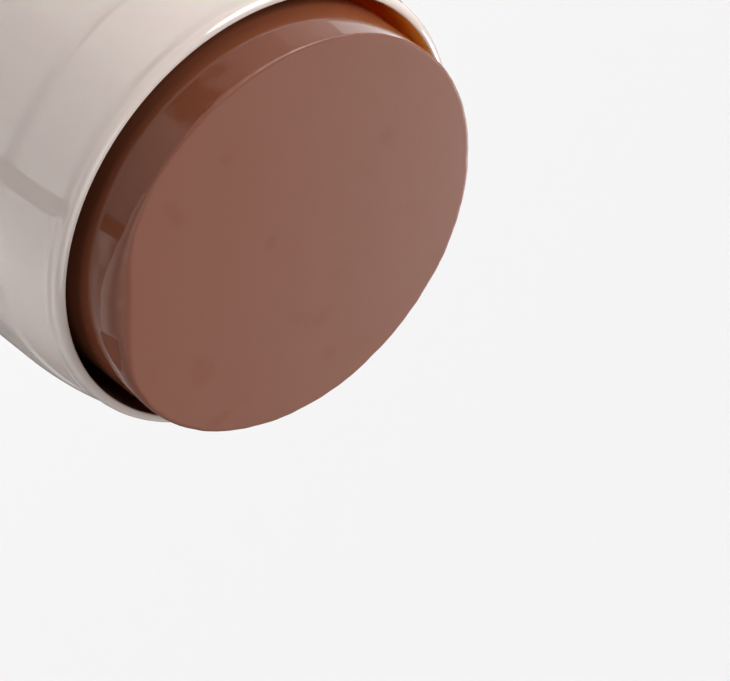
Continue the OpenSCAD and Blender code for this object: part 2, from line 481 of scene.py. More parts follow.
class Effects:
    """The shader groups that the finishes share, each of which uses them with its own values."""

    def __init__(self) -> None:
        """Builds the groups."""
        self.unevenness = self.build_unevenness()
        self.marks = self.build_marks()

    @staticmethod
    def start(name: str, inputs: dict[str, float],
              output: str) -> tuple[NodeTree, bpy.types.Node, Socket]:
        """Makes an empty group.

        Args:
            name: The group's name.
            inputs: Its inputs with their usual values.
            output: Its one output.

        Returns:
            The tree, the node that holds its inputs, and the socket that its output is fed from.
        """
        tree = bpy.data.node_groups.new(name, "ShaderNodeTree")
        for key, value in inputs.items():
            socket = tree.interface.new_socket(key, in_out="INPUT", socket_type="NodeSocketFloat")
            socket.default_value = value
        tree.interface.new_socket(output, in_out="OUTPUT", socket_type="NodeSocketFloat")
        given, result = tree.nodes.new("NodeGroupInput"), tree.nodes.new("NodeGroupOutput")
        return NodeTree(tree), given, result.inputs[0]

    def build_unevenness(self) -> bpy.types.NodeTree:
        """The slow or fine unevenness of a moulded or poured surface.

        Formula: noise of the object's coordinates at a scale, spread from -Amount to +Amount.

        Returns:
            The group.
        """
        usual = {"Scale": 500, "Detail": 2, "Amount": 1}
        tree, given, result = self.start("surface_unevenness", usual, "Value")
        place = tree.add("TexCoord").outputs["Object"]
        noise = tree.add("TexNoise", {"Vector": place, "Scale": given.outputs["Scale"],
                                      "Detail": given.outputs["Detail"], "Roughness": 0.55})
        stray = tree.math("SUBTRACT", noise.outputs["Fac"], 0.5)
        spread = tree.math("MULTIPLY", stray, NOISE_SPREAD)
        tree.feed(result, tree.math("MULTIPLY", spread, given.outputs["Amount"]))
        return tree.tree

    def build_marks(self) -> bpy.types.NodeTree:
        """Sparse marks, such as specks of pigment or hairline rubs.

        Formula: noise of the object's coordinates, drawn out along the axis by Stretch, and cut
        off below 1 - Share with a soft Edge.

        Returns:
            The group.
        """
        usual = {"Scale": 900, "Stretch": 1, "Share": 0.4, "Edge": 0.06}
        tree, given, result = self.start("sparse_marks", usual, "Mask")
        x, y, z = tree.parts()
        along = tree.math("DIVIDE", z, given.outputs["Stretch"])
        drawn = tree.add("CombineXYZ", {"X": x, "Y": y, "Z": along})
        noise = tree.add("TexNoise", {"Vector": drawn.outputs[0], "Scale": given.outputs["Scale"],
                                      "Detail": 1.0})
        limit = tree.math("SUBTRACT", 1.0, given.outputs["Share"])
        above = tree.math("SUBTRACT", noise.outputs["Fac"], limit)
        tree.feed(result, tree.math("DIVIDE", above, given.outputs["Edge"], clamp=True))
        return tree.tree


@dataclass(frozen=True)
class Unevenness:
    """Values for the unevenness group: its scale per metre, and its height in millimetres."""

    scale: float
    height: float
    detail: float = 2.0


@dataclass(frozen=True)
class Marks:
    """Values for the marks group, with how strongly the marks show."""

    scale: float
    share: float
    amount: float
    stretch: float = 1.0
    edge: float = 0.06


@dataclass(frozen=True)
class Finish:
    """A dressed surface.

    Its colour drifts between two tones, specks of a third lie in it, and its gloss swings a
    little with the drift and rises or falls at the rubs. Two kinds of unevenness give its relief.
    On one side of the stick it may go over to a painted shade, a dark colour that stands in for the
    shadow there, which covers most of it and doesn't scatter.
    """

    name: str
    colour: Colour
    drift: Colour
    rough: float
    rough_swing: float
    swell: Unevenness
    grain: Unevenness
    rubs: Marks
    specks: Marks
    speck_colour: Colour
    drift_scale: float = 110.0
    ior: float = 1.5
    scatter: float = 0.0
    scatter_reach: Colour = (1.0, 0.4, 0.25)
    scatter_depth: float = 0.0006
    painted_shade: Colour | None = None
    painted_shade_side: float = 0.0
    painted_shade_blend: float = 0.012
    painted_shade_cover: float = 0.93

    @staticmethod
    def mask(tree: NodeTree, effects: Effects, marks: Marks) -> Socket:
        """The marks group's mask times how strongly the marks show."""
        found = tree.place(effects.marks, Scale=marks.scale, Stretch=marks.stretch,
                           Share=marks.share, Edge=marks.edge)
        return tree.math("MULTIPLY", found, marks.amount)

    def relief(self, tree: NodeTree, effects: Effects) -> Socket:
        """Adds the relief, the sum of both kinds of unevenness in millimetres.

        Args:
            tree: The material's tree.
            effects: The shared groups.

        Returns:
            The normal.
        """
        parts = [tree.place(effects.unevenness, Scale=u.scale, Detail=u.detail, Amount=u.height)
                 for u in (self.swell, self.grain)]
        height = tree.math("ADD", *parts)
        bump = tree.add("Bump", {"Strength": 1.0, "Distance": MM, "Height": height})
        return bump.outputs["Normal"]

    def painted_shade_share(self, tree: NodeTree) -> Socket:
        """How far the finish has gone over to its painted shade, a dark colour that stands in for shadow.

        Formula: 0.5 + (x cos a + y sin a) / blend, held between 0 and 1, where a is the azimuth
        of the side with the painted shade.

        Args:
            tree: The material's tree.

        Returns:
            The share, from 0 to 1.
        """
        side = math.radians(self.painted_shade_side)
        x, y, _ = tree.parts()
        along = tree.math("ADD", tree.math("MULTIPLY", x, math.cos(side)),
                          tree.math("MULTIPLY", y, math.sin(side)))
        return tree.math("MULTIPLY_ADD", along, 1 / self.painted_shade_blend, 0.5, clamp=True)

    def material(self, effects: Effects) -> bpy.types.Material:
        """Makes the material.

        Formula: the share of the drift's tone is half the slow unevenness plus a half.

        Args:
            effects: The shared groups.

        Returns:
            The material.
        """
        made = bpy.data.materials.new(self.name)
        tree = NodeTree.bare(made)
        slow = tree.place(effects.unevenness, Scale=self.drift_scale, Detail=3.0, Amount=1.0)
        share = tree.math("MULTIPLY_ADD", slow, 0.5, 0.5, clamp=True)
        colour = tree.mix(share, self.colour, self.drift)
        colour = tree.mix(self.mask(tree, effects, self.specks), colour, self.speck_colour)
        swing = tree.math("MULTIPLY_ADD", slow, self.rough_swing, self.rough)
        rough = tree.math("ADD", swing, self.mask(tree, effects, self.rubs), clamp=True)
        scatter: Feed = self.scatter
        # Painted shade: on one side the colour goes dark, standing in for the shadow there, and scatters
        # no light
        if self.painted_shade is not None:
            over = self.painted_shade_share(tree)
            colour = tree.mix(tree.math("MULTIPLY", over, self.painted_shade_cover), colour, self.painted_shade)
            scatter = tree.math("MULTIPLY_ADD", over, -self.scatter, self.scatter)
        shader = tree.add("BsdfPrincipled", {
            "Base Color": colour, "Roughness": rough, "IOR": self.ior,
            "Normal": self.relief(tree, effects), "Subsurface Weight": scatter,
            "Subsurface Radius": self.scatter_reach, "Subsurface Scale": self.scatter_depth})
        tree.add("OutputMaterial", {"Surface": shader.outputs[0]})
        return made


NO_MARKS = Marks(scale=900, share=0.0, amount=0.0)

# The tube's warm off-white is partly the plastic's own tone and partly painted warm bounce light from
# brown cream beneath
TUBE_GLOSS = Finish(
    "tube_gloss", (0.738, 0.634, 0.580), (0.720, 0.620, 0.570), rough=0.04, rough_swing=0.006,
    swell=Unevenness(150, 0.0008), grain=Unevenness(2600, 0.00012),
    rubs=Marks(620, 0.36, 0.05, stretch=0.05), specks=Marks(3800, 0.28, 0.10),
    speck_colour=(0.62, 0.54, 0.49), ior=1.7, scatter=0.3, scatter_reach=(1.0, 0.7, 0.55),
    scatter_depth=0.0010)
# Light orange-brown tone on the bore's top; on one side it goes over to a dark painted shade that stands
# in for the shadow in the gap
BORE_TONE_AND_SHADE = Finish(
    "bore_film", (0.74, 0.42, 0.20), (0.60, 0.31, 0.14), rough=0.30, rough_swing=0.10,
    swell=Unevenness(600, 0.010), grain=Unevenness(3200, 0.0015),
    rubs=Marks(700, 0.42, 0.15, stretch=4.0), specks=Marks(650, 0.40, 0.35, stretch=5.0),
    speck_colour=(0.66, 0.47, 0.34), scatter=0.8, scatter_reach=(1.0, 0.84, 0.60),
    scatter_depth=0.0026,
    painted_shade=(0.076, 0.0177, 0.0087), painted_shade_side=-50.0)
# The knob takes the tube's colours, painted warm bounce light included
KNOB_GLOSS = replace(
    TUBE_GLOSS, name="knob_gloss", rough=0.10, rough_swing=0.015, swell=Unevenness(170, 0.0024),
    grain=Unevenness(2600, 0.00015), rubs=Marks(520, 0.40, 0.10, stretch=20.0))
INNER_MOULDING = Finish(
    "inner_moulding", (0.76, 0.74, 0.70), (0.73, 0.71, 0.67), rough=0.42, rough_swing=0.05,
    swell=Unevenness(320, 0.003), grain=Unevenness(5200, 0.0014),
    rubs=Marks(700, 0.40, 0.08, stretch=8.0), specks=NO_MARKS, speck_colour=(0.6, 0.6, 0.6))
SPINDLE_ACETAL = Finish(
    "spindle_acetal", (0.73, 0.72, 0.68), (0.70, 0.69, 0.65), rough=0.32, rough_swing=0.04,
    swell=Unevenness(400, 0.002), grain=Unevenness(4200, 0.0008),
    rubs=Marks(900, 0.42, 0.12, stretch=12.0), specks=Marks(3000, 0.3, 0.15),
    speck_colour=(0.58, 0.56, 0.5))
CARRIER_MOULDING = Finish(
    "carrier_moulding", (0.74, 0.71, 0.67), (0.70, 0.67, 0.63), rough=0.38, rough_swing=0.05,
    swell=Unevenness(300, 0.003), grain=Unevenness(4600, 0.0012),
    rubs=Marks(800, 0.4, 0.1, stretch=0.1), specks=Marks(1600, 0.34, 0.25),
    speck_colour=(0.42, 0.28, 0.21))
RING_SILICONE = Finish(
    "ring_silicone", (0.045, 0.045, 0.047), (0.055, 0.054, 0.054), rough=0.5, rough_swing=0.08,
    swell=Unevenness(500, 0.004), grain=Unevenness(5000, 0.002),
    rubs=Marks(1200, 0.4, -0.2), specks=Marks(2600, 0.32, 0.4), speck_colour=(0.11, 0.11, 0.11))
DISC_SATIN = Finish(
    "disc_satin", (0.74, 0.715, 0.68), (0.72, 0.69, 0.655), rough=0.46, rough_swing=0.05,
    swell=Unevenness(260, 0.003), grain=Unevenness(6200, 0.0030, 1.0),
    rubs=Marks(420, 0.42, -0.10), specks=NO_MARKS, speck_colour=(0.6, 0.6, 0.6))
CREAM_FACE = Finish(
    "bronzer_face", (0.208, 0.0660, 0.0340), (0.198, 0.0625, 0.0315), rough=0.40, rough_swing=0.03,
    swell=Unevenness(230, 0.006), grain=Unevenness(5200, 0.0016, 3.0),
    rubs=Marks(420, 0.36, -0.05), specks=Marks(5200, 0.34, 0.22), speck_colour=(0.135, 0.040, 0.022),
    drift_scale=190.0, scatter=0.10)
CREAM_SIDE = Finish(
    "bronzer_side", (0.199, 0.0600, 0.0290), (0.188, 0.0565, 0.0275), rough=0.05, rough_swing=0.01,
    swell=Unevenness(210, 0.004), grain=Unevenness(4200, 0.0003),
    rubs=Marks(500, 0.36, 0.05, stretch=0.2), specks=Marks(5200, 0.32, 0.15),
    speck_colour=(0.130, 0.038, 0.021), drift_scale=190.0, scatter=0.10)
CREAM_CUT = replace(CREAM_SIDE, name="bronzer_cut", rough=0.75, ior=1.25)


def waves(angle: np.ndarray, counts: tuple[int, ...], seed: int) -> np.ndarray:
    """A slow unevenness round the axis, from about -1 to 1.

    Formula: the sum of sin(n * angle + phase) * weight over the wave counts n, with phases from
    a seeded draw and weights that fall as 1 over the root of n, scaled so that they add up to 1.

    Args:
        angle: Angles in radians.
        counts: Waves in one turn, one for each sine.
        seed: Seed of the phases.

    Returns:
        The unevenness at each angle.
    """
    phases = np.random.default_rng(seed).uniform(0, 2 * math.pi, len(counts))
    weights = 1 / np.sqrt(np.array(counts, float))
    total = sum(w * np.sin(n * angle + p) for n, p, w in zip(counts, phases, weights))
    return total / weights.sum()


def bump_at(angle: np.ndarray, middle: float, width: float) -> np.ndarray:
    """A smooth hump round an angle, both in degrees: exp(-(distance / width)^2)."""
    away = np.angle(np.exp(1j * (angle - math.radians(middle))))
    return np.exp(-(np.degrees(away) / width) ** 2)


@dataclass
class Tube:
    """The barrel, one moulding: collar, neck, shoulder and lip, with the guide grooves inside."""

    effects: Effects
    wall: float = 1.4
    lip_wall: float = 0.7
    lip_height: float = 1.45
    shoulder_length: float = 5.8
    mouth_round: float = 0.12
    edge_round: float = 0.4
    neck_fillet: float = 0.15
    lip_fillet: float = 0.35
    snap_rise: float = 3.0
    snap_height: float = 1.4
    snap_depth: float = 0.25
    snap_ease: tuple[float, float] = (0.05, 0.02)
    seat_step: float = 0.4
    seat_height: float = 4.3
    seat_chamfer: float = 0.3
    bead_height: float = 1.0
    bead_depth: float = 0.2
    grooves: int = 3
    groove_width: float = 2.3
    groove_depth: float = 0.57
    groove_end: float = 49.5
    tint_end: float = 44.0

    def __post_init__(self) -> None:
        """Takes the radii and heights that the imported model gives."""
        self.foot, self.mouth = node_foot("barrel"), node_top("barrel")
        self.collar_radius = node_radius("barrel")
        self.neck_radius = mount_size("cap_seat", "r_mm")
        self.bore = self.neck_radius - self.wall
        self.lip_radius = self.bore + self.lip_wall
        self.kink = self.mouth - self.lip_height
        self.shoulder = self.kink - self.shoulder_length
        self.snap = self.shoulder - mount_size("cap_seat", "length_mm") - self.snap_height
        self.collar_top = self.snap - self.snap_rise

    def outside(self) -> Profile:
        """The profile from the foot up to the mouth.

        The shoulder leaves the neck as a parabola, radius = neck - (neck - lip) * s^2 over its
        length, and a soft corner leads it into the upright lip, which ends in a quarter ellipse.

        Returns:
            The profile's points.
        """
        e, r, neck = self.edge_round, self.collar_radius, self.neck_radius
        top, fillet, snap = self.collar_top, self.neck_fillet, self.snap
        deep = neck - self.snap_depth
        quarter = self.snap_height / 4
        snap_top = snap + self.snap_height
        inwards, along = self.snap_ease
        s = np.linspace(0, 1 - self.lip_fillet / self.shoulder_length, 22)
        narrowed = neck - (neck - self.lip_radius) * s ** 2
        curve = np.stack([narrowed, self.shoulder + self.shoulder_length * s], axis=1)
        seat = self.bore + self.seat_step + self.seat_chamfer / 2
        lip_foot = (self.lip_radius, self.kink + self.lip_fillet)
        lip = self.kink + self.lip_height / 2
        return join(
            stretch((seat, self.foot), (r - e, self.foot), 2, 0.1),
            arc((r - e, self.foot + e), (e, e), (-90, 0), 8),
            stretch((r, self.foot + e), (r, top - e), 24, 0.15),
            arc((r - e, top - e), (e, e), (0, 90), 8),
            stretch((r - e, top), (neck + fillet, top), 1, 0.08),
            arc((neck + fillet, top + fillet), (fillet, fillet), (270, 180), 5),
            stretch((neck, top + fillet), (neck, snap), 4, 0.1),
            corner((neck, snap), (neck - inwards, snap + along), (deep, snap + quarter), 4),
            stretch((deep, snap + quarter), (deep, snap + 3 * quarter), 2, 0.08),
            corner((deep, snap + 3 * quarter), (neck - inwards, snap_top - along), (neck, snap_top), 4),
            stretch((neck, snap_top), (neck, self.shoulder), 16, 0.1),
            curve,
            corner(curve[-1], (self.lip_radius, self.kink), lip_foot, 8),
            stretch(lip_foot, (self.lip_radius, lip), 1),
            arc((self.bore + self.mouth_round, lip),
                (self.lip_wall - self.mouth_round, self.lip_height / 2), (0, 90), 14))

    def hollow(self) -> tuple[Profile, Profile]:
        """The profile from the mouth down the bore to the foot, beside and inside a groove.

        Returns:
            Both profiles, with as many points each.
        """
        m, seat = self.mouth_round, self.bore + self.seat_step
        floor = self.bore + self.groove_depth
        seat_top = self.foot + self.seat_height
        bead = seat_top - self.bead_height
        half = self.bead_height / 2
        top = join(
            arc((self.bore + m, self.mouth - m), (m, m), (100, 180), 5),
            stretch((self.bore, self.mouth - m), (self.bore, self.groove_end), 10, 0.1))
        below = join(
            stretch((self.bore, self.groove_end), (self.bore, seat_top), 8),
            [(seat, seat_top), (seat, bead + half), (seat + self.bead_depth, bead), (seat, bead - half),
             (seat, self.foot + self.seat_chamfer / 2)])
        grooved = np.stack([np.maximum(below[:, 0], floor), below[:, 1]], axis=1)
        return np.concatenate([top, below]), np.concatenate([top, grooved])

    def tinted_top(self, spots: Spots) -> np.ndarray:
        """Finish of each point: 1 for the bore's top, light orange-brown with a painted shade on one
        side, 0 elsewhere.
        """
        top = (spots.height > self.tint_end) & (spots.height < self.mouth - WELD_STEP)
        return (top & (spots.radius < self.bore + WELD_STEP)).astype(int)

    def build(self) -> bpy.types.Object:
        """Makes the piece.

        Returns:
            The piece's object.
        """
        outside = self.outside()
        beside, grooved = self.hollow()
        columns = Columns(between=113, features=self.grooves, width=self.groove_width, inside=9)
        profiles = (np.concatenate([outside, side]) for side in (beside, grooved))
        skin = ring_skin(columns, *profiles, zones=self.tinted_top)
        finishes = [f.material(self.effects) for f in (TUBE_GLOSS, BORE_TONE_AND_SHADE)]
        return make_piece("tube_moulding", skin, finishes, Body.BARREL, "barrel")


@dataclass
class Bronzer:
    """The bullet of cream: a flat face, a glossy moulded side, a hollow and slots for the fins.

    The rim of the face is a thin round that swells and shrinks a little on its way round. On one
    side it was rubbed soft, and next to that a sliver was shaved off it.
    """

    effects: Effects
    rim: float = 0.20
    rim_reach: float = 2.6
    rim_swing: float = 0.8
    rub_middle: float = -40.0
    rub_width: float = 20.0
    rub_depth: float = 6.8
    shave_middle: float = -32.0
    shave_start: float = -32.5
    shave_onset: float = 1.6
    shave_lean: float = 75.0
    shave_depth: float = 0.56
    least_shave: float = 0.02
    gloss_share: float = 0.25
    rub_share: float = 0.92
    rub_spread: float = 5.0
    glint_middle: float = -131.0
    glint_width: float = 4.0
    glint_fade: float = 0.2
    rim_waves: tuple[int, ...] = (3, 7, 17, 29, 47, 71)
    slow_waves: tuple[int, ...] = (5, 8, 13)
    fast_waves: tuple[int, ...] = (21, 34)
    ripple: float = 0.012
    ripple_pitch: float = 3.4
    ripple_twist: float = 0.12
    dome: float = 0.30
    nut_radius: float = 6.12
    nut_top: float = 31.82
    hollow_radius: float = 4.3
    hollow_top: float = 57.2
    slots: int = 6
    slot_width: float = 0.84
    slot_inner: float = 10.0
    slot_height: float = 4.04
    face_rows: int = 30
    edge_rows: int = 14
    rim_rows: int = 10

    def __post_init__(self) -> None:
        """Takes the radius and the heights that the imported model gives."""
        self.radius = node_radius("bullet")
        self.face, self.foot = node_top("bullet"), node_foot("bullet")
        self.ripple_end = 2 * self.ripple_pitch

    def spread(self, distance: np.ndarray, size: np.ndarray) -> np.ndarray:
        """Makes the rim's round of another size, and shifts what lies near it along.

        Formula: a distance from the sharp corner goes by straight lines from 0, the rim's usual
        size and the reach to 0, the new size and the reach.

        Args:
            distance: Distances from the sharp corner, along the face or down the side.
            size: The round's size at the same points.

        Returns:
            The new distances.
        """
        rest = self.rim_reach - self.rim
        beyond = size + (distance - self.rim) * (self.rim_reach - size) / rest
        spread = np.where(distance < self.rim, distance * size / self.rim, beyond)
        return np.where(distance < self.rim_reach, spread, distance)

    def cut(self, spots: Spots) -> np.ndarray:
        """How deep the sliver that was shaved off the rim goes at every point.

        Formula: how far the point lies beyond a leaning plane, times a smooth step from 0 to 1
        over the onset.

        Args:
            spots: The worn form's points.

        Returns:
            The depths along the plane's normal.
        """
        lean, middle = math.radians(self.shave_lean), math.radians(self.shave_middle)
        outwards = spots.radius * np.cos(spots.angle - middle) - self.radius
        beyond = outwards * math.sin(lean) + (spots.height - self.face) * math.cos(lean)
        turned = np.degrees(spots.angle + math.pi) % 360 - 180 - self.shave_start
        started = np.clip(turned / self.shave_onset, 0, 1)
        near = self.face - spots.height < self.ripple_end
        return np.clip(beyond + self.shave_depth, 0, None) * started ** 2 * (3 - 2 * started) * near

    def worn(self, spots: Spots) -> Spots:
        """Makes the moulded form uneven, always inwards, but for the shaved sliver.

        Formula: the rim's round has a size that waves round the axis and peaks at the rubbed
        stretch. The side sinks by a ripple in angle and height, and the face falls off towards
        its rim as (r / R)^2 from a dome.

        Args:
            spots: The moulded form's points.

        Returns:
            The worn form's points.
        """
        angle = spots.angle
        inwards, down = self.radius - spots.radius, self.face - spots.height
        size = self.rim * (1 + self.rim_swing * waves(angle, self.rim_waves, seed=11)
                           + self.rub_depth * bump_at(angle, self.rub_middle, self.rub_width))
        radius = np.where(down < self.rim_reach, self.radius - self.spread(inwards, size), spots.radius)
        height = np.where(inwards < self.rim_reach, self.face - self.spread(down, size), spots.height)
        depth = np.clip(down / self.ripple_pitch, 0, 1)
        side = (inwards < WELD_STEP) & (down < self.ripple_end)
        slow = waves(angle + self.ripple_twist * spots.height, self.slow_waves, seed=3)
        wave = 0.5 + 0.25 * slow + 0.25 * waves(angle, self.fast_waves, seed=5)
        radius = radius - np.where(side, self.ripple * wave * depth * (1 - depth) * 4, 0)
        fall = self.dome * (radius / self.radius) ** 2 * np.clip(1 - down / self.rim_reach, 0, 1)
        return Spots(radius, angle, height - fall)

    def reshape(self, spots: Spots) -> Spots:
        """Wears the form and presses the shaved sliver back along the plane's normal.

        Args:
            spots: The moulded form's points.

        Returns:
            The points of the form as it is now.
        """
        worn, lean = self.worn(spots), math.radians(self.shave_lean)
        push = self.cut(worn)
        return replace(worn, radius=worn.radius - push * math.sin(lean),
                       height=worn.height - push * math.cos(lean))

    def zones(self, spots: Spots) -> np.ndarray:
        """Finish of each point: 0 for the matt face, 1 for the glossy side, 2 for the sliver.

        The side's gloss goes up the rim's round to a share of its turn. That share is larger at
        the glint, and below zero at the rubbed stretch, where the matt finish comes down the side.

        Args:
            spots: The moulded form's points.

        Returns:
            The finish numbers.
        """
        inwards, down = self.radius - spots.radius, self.face - spots.height
        turn = np.arctan2(self.rim - down, self.rim - inwards)
        rub = self.rub_spread * bump_at(spots.angle, self.rub_middle, self.rub_width)
        glint = bump_at(spots.angle, self.glint_middle, self.glint_width)
        share = self.gloss_share - (self.gloss_share + self.rub_share) * np.clip(rub, 0, 1)
        glossy = turn < np.maximum(share, glint - self.glint_fade) * math.pi / 2
        return np.where(self.cut(self.worn(spots)) > self.least_shave, 2, glossy.astype(int))

    def profiles(self) -> tuple[Profile, Profile]:
        """The profile from the face's centre out, down the side and up the hollow.

        Returns:
            The profile beside and inside a slot.
        """
        r, face, foot, e = self.radius, self.face, self.foot, self.rim
        slot_top = foot + self.slot_height
        reach = self.rim_reach
        shared = join(
            stretch((0, face), (r - reach, face), self.face_rows),
            stretch((r - reach, face), (r - e, face), self.edge_rows),
            arc((r - e, face - e), (e, e), (90, 0), self.rim_rows),
            stretch((r, face - e), (r, face - reach), self.edge_rows),
            stretch((r, face - reach), (r, face - self.ripple_end), 20),
            stretch((r, face - self.ripple_end), (r, slot_top), 6))
        beside = np.array([(r, foot), (self.slot_inner, foot)])
        inside = np.array([(self.slot_inner, slot_top), (self.slot_inner, foot)])
        core = join(
            [(self.nut_radius, foot)],
            stretch((self.nut_radius, foot), (self.nut_radius, self.nut_top), 2),
            stretch((self.hollow_radius, self.nut_top), (self.hollow_radius, self.hollow_top), 4),
            [(0, self.hollow_top)])
        return np.concatenate([shared, beside, core]), np.concatenate([shared, inside, core])

    def build(self) -> bpy.types.Object:
        """Makes the piece.

        Returns:
            The piece's object.
        """
        beside, inside = self.profiles()
        columns = Columns(between=92, features=self.slots, width=self.slot_width, inside=4,
                          least_radius=self.hollow_radius)
        skin = ring_skin(columns, beside, inside, loop=False, reshape=self.reshape, zones=self.zones)
        finishes = [f.material(self.effects) for f in (CREAM_FACE, CREAM_SIDE, CREAM_CUT)]
        return make_piece("bronzer_bullet", skin, finishes, Body.BULLET, "bullet")


@dataclass
class Knob:
    """The twist knob: outer wall, top, hub with its hexagonal socket, and ribs."""

    effects: Effects
    wall: float = 1.7
    web: float = 1.6
    hub_wall: float = 1.5
    socket_flats: float = 6.06
    hub_foot: float = 3.0
    disc_top: float = 1.5
    ledge: float = 0.7
    edge_round: float = 0.4
    rim_round: float = 0.3
    ribs: int = 6
    rib_width: float = 0.9
    rib_inset: float = 1.0

    def __post_init__(self) -> None:
        """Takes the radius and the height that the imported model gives, and works out the socket."""
        self.radius, self.height = node_radius("twist_knob"), node_top("twist_knob")
        self.socket = self.socket_flats / 2 / math.cos(math.pi / 6)
        self.hub = self.socket + self.hub_wall

    def profiles(self) -> tuple[Profile, Profile]:
        """The closed profile from the socket's foot out and back, beside and inside a rib.

        Returns:
            Both profiles, with as many points each.
        """
        inner, under = self.radius - self.wall, self.height - self.web
        e, f, r = self.rim_round, self.edge_round, self.radius
        start = np.array([(self.socket, self.hub_foot), (self.hub, self.hub_foot)])
        beside = np.array([(self.hub, under), (inner, under), (inner, self.hub_foot)])
        inside = np.array([(self.hub + self.rib_inset, self.hub_foot),
                           (inner - self.rib_inset, self.hub_foot), (inner, self.hub_foot)])
        outer = join(
            [(inner, self.hub_foot), (inner, self.disc_top), (inner + self.ledge, self.disc_top)],
            stretch((inner + self.ledge, self.disc_top), (inner + self.ledge, 0), 1, 0.08),
            arc((r - e, e), (e, e), (-90, 0), 8),
            stretch((r, e), (r, self.height - f), 14, 0.15),
            arc((r - f, self.height - f), (f, f), (0, 90), 8),
            stretch((r - f, self.height), (self.socket, self.height), 6, 0.1))
        return np.concatenate([start, beside, outer]), np.concatenate([start, inside, outer])

    def hexagon(self, spots: Spots) -> Spots:
        """Makes the socket's wall a hexagon: half its flats over the cosine from the nearest flat.

        Args:
            spots: The points with a round socket.

        Returns:
            The points with a hexagonal socket.
        """
        sector = math.pi / 3
        from_flat = np.mod(spots.angle, sector) - sector / 2
        six_sided = self.socket_flats / 2 / np.cos(from_flat)
        in_socket = spots.radius < self.socket + WELD_STEP
        return replace(spots, radius=np.where(in_socket, six_sided, spots.radius))

    def build(self) -> bpy.types.Object:
        """Makes the piece.

        Returns:
            The piece's object.
        """
        beside, inside = self.profiles()
        columns = Columns(between=52, features=self.ribs, width=self.rib_width, inside=7)
        skin = ring_skin(columns, beside, inside, reshape=self.hexagon)
        return make_piece("knob_moulding", skin, [KNOB_GLOSS.material(self.effects)], Body.KNOB,
                          "twist_knob")


@dataclass
class FootDisc:
    """The disc that closes the knob from below, with the mark of its moulding gate."""

    effects: Effects
    chamfer: float = 0.3
    gate: float = 1.3
    gate_depth: float = 0.2

    def build(self) -> bpy.types.Object:
        """Makes the piece.

        Its underside is flat from the gate's dimple, a cosine hollow, out to the chamfer.

        Returns:
            The piece's object.
        """
        radius, foot, top = node_radius("base_disc"), node_foot("base_disc"), node_top("base_disc")
        share = np.linspace(0, 1, 9)
        dimple = np.stack([share * self.gate,
                           foot + self.gate_depth * (0.5 + 0.5 * np.cos(math.pi * share))], axis=1)
        profile = join(
            dimple, stretch((self.gate, foot), (radius - self.chamfer, foot), 10, 0.1),
            stretch((radius - self.chamfer, foot), (radius, foot + self.chamfer), 1),
            stretch((radius, foot + self.chamfer), (radius, top), 1, 0.05),
            stretch((radius, top), (0, top), 6, 0.1))
        skin = ring_skin(Columns(between=240), profile, loop=False)
        return make_piece("foot_disc", skin, [DISC_SATIN.material(self.effects)], Body.KNOB,
                          "base_disc")


@dataclass
class InnerWorks:
    """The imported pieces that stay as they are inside, and only get their finish."""

    effects: Effects

    def dress(self) -> None:
        """Gives each inner piece its material."""
        finishes = {"bearing_plug": INNER_MOULDING, "spindle": SPINDLE_ACETAL,
                    "carrier": CARRIER_MOULDING, "friction_ring": RING_SILICONE}
        for node, finish in finishes.items():
            piece = frame["nodes"][node]
            if not piece.material_slots:
                piece.data.materials.append(None)
            for slot in piece.material_slots:
                slot.material = finish.material(self.effects)
            log.info("%s: dressed as %s", node, finish.name)


@dataclass(frozen=True)
class Viewpoint:
    """The photograph's viewpoint, as fitted to the rims of the stick.

    Tilt is the angle between the stick's axis and the line to the camera, and roll turns the
    picture. The face's centre lies at aim_x, aim_y in the picture's pixels.
    """

    tilt: float = math.radians(50.99)
    roll: float = math.radians(127.40)
    distance: float = 0.600
    focal_px: float = 9052.0
    aim_x: float = 296.9
    aim_y: float = 237.0

    def place(self) -> bpy.types.Object:
        """Makes the camera.

        Formula: the camera looks at the face's centre from the tilt, is rolled, and then turns
        sideways and up by the angles that bring that centre to its pixel.

        Returns:
            The camera.
        """
        face = np.array([0, 0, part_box("bullet")[1].z])
        away = back = np.array([0, -math.sin(self.tilt), math.cos(self.tilt)])
        level = np.array([1.0, 0, 0])
        upward = np.cross(back, level)
        right = level * math.cos(self.roll) + upward * math.sin(self.roll)
        up = np.cross(back, right)
        across = math.atan2(self.aim_x - PHOTO_WIDTH / 2, self.focal_px)
        down = math.atan2(self.aim_y - PHOTO_HEIGHT / 2, self.focal_px)
        turned = Matrix.Rotation(across, 3, up.tolist())
        back, right = (np.array(turned) @ v for v in (back, right))
        tipped = np.array(Matrix.Rotation(down, 3, right.tolist()))
        back, up = tipped @ back, tipped @ up
        lens = bpy.data.cameras.new("camera")
        lens.sensor_width = SENSOR_WIDTH
        lens.lens = self.focal_px * SENSOR_WIDTH / PHOTO_WIDTH
        lens.clip_start, lens.clip_end = 0.01, 20.0
        camera = put("camera", lens)
        place = face + self.distance * away
        matrix = Matrix.Identity(4)
        for row in range(3):
            matrix[row] = (right[row], up[row], back[row], place[row])
        camera.matrix_world = matrix
        bpy.context.scene.camera = camera
        return camera


@dataclass(frozen=True)
class Lamp:
    """A soft lamp, far away.

    Angles are in degrees: its azimuth from +X, its height above the floor, and how wide it looks.
    Its level is what a white floor sends back under this lamp alone.
    """

    name: str
    azimuth: float
    height: float
    width: float
    level: float

    def make(self) -> bpy.types.Object:
        """Makes the lamp.

        Formula: its strength is pi * level / sin(height).

        Returns:
            The lamp.
        """
        lamp = bpy.data.lights.new(self.name, "SUN")
        height = math.radians(self.height)
        lamp.angle = math.radians(self.width)
        lamp.energy = math.pi * self.level / math.sin(height)
        light = put(self.name, lamp)
        light.rotation_euler = (math.pi / 2 - height, 0, math.radians(self.azimuth) + math.pi / 2)
        return light


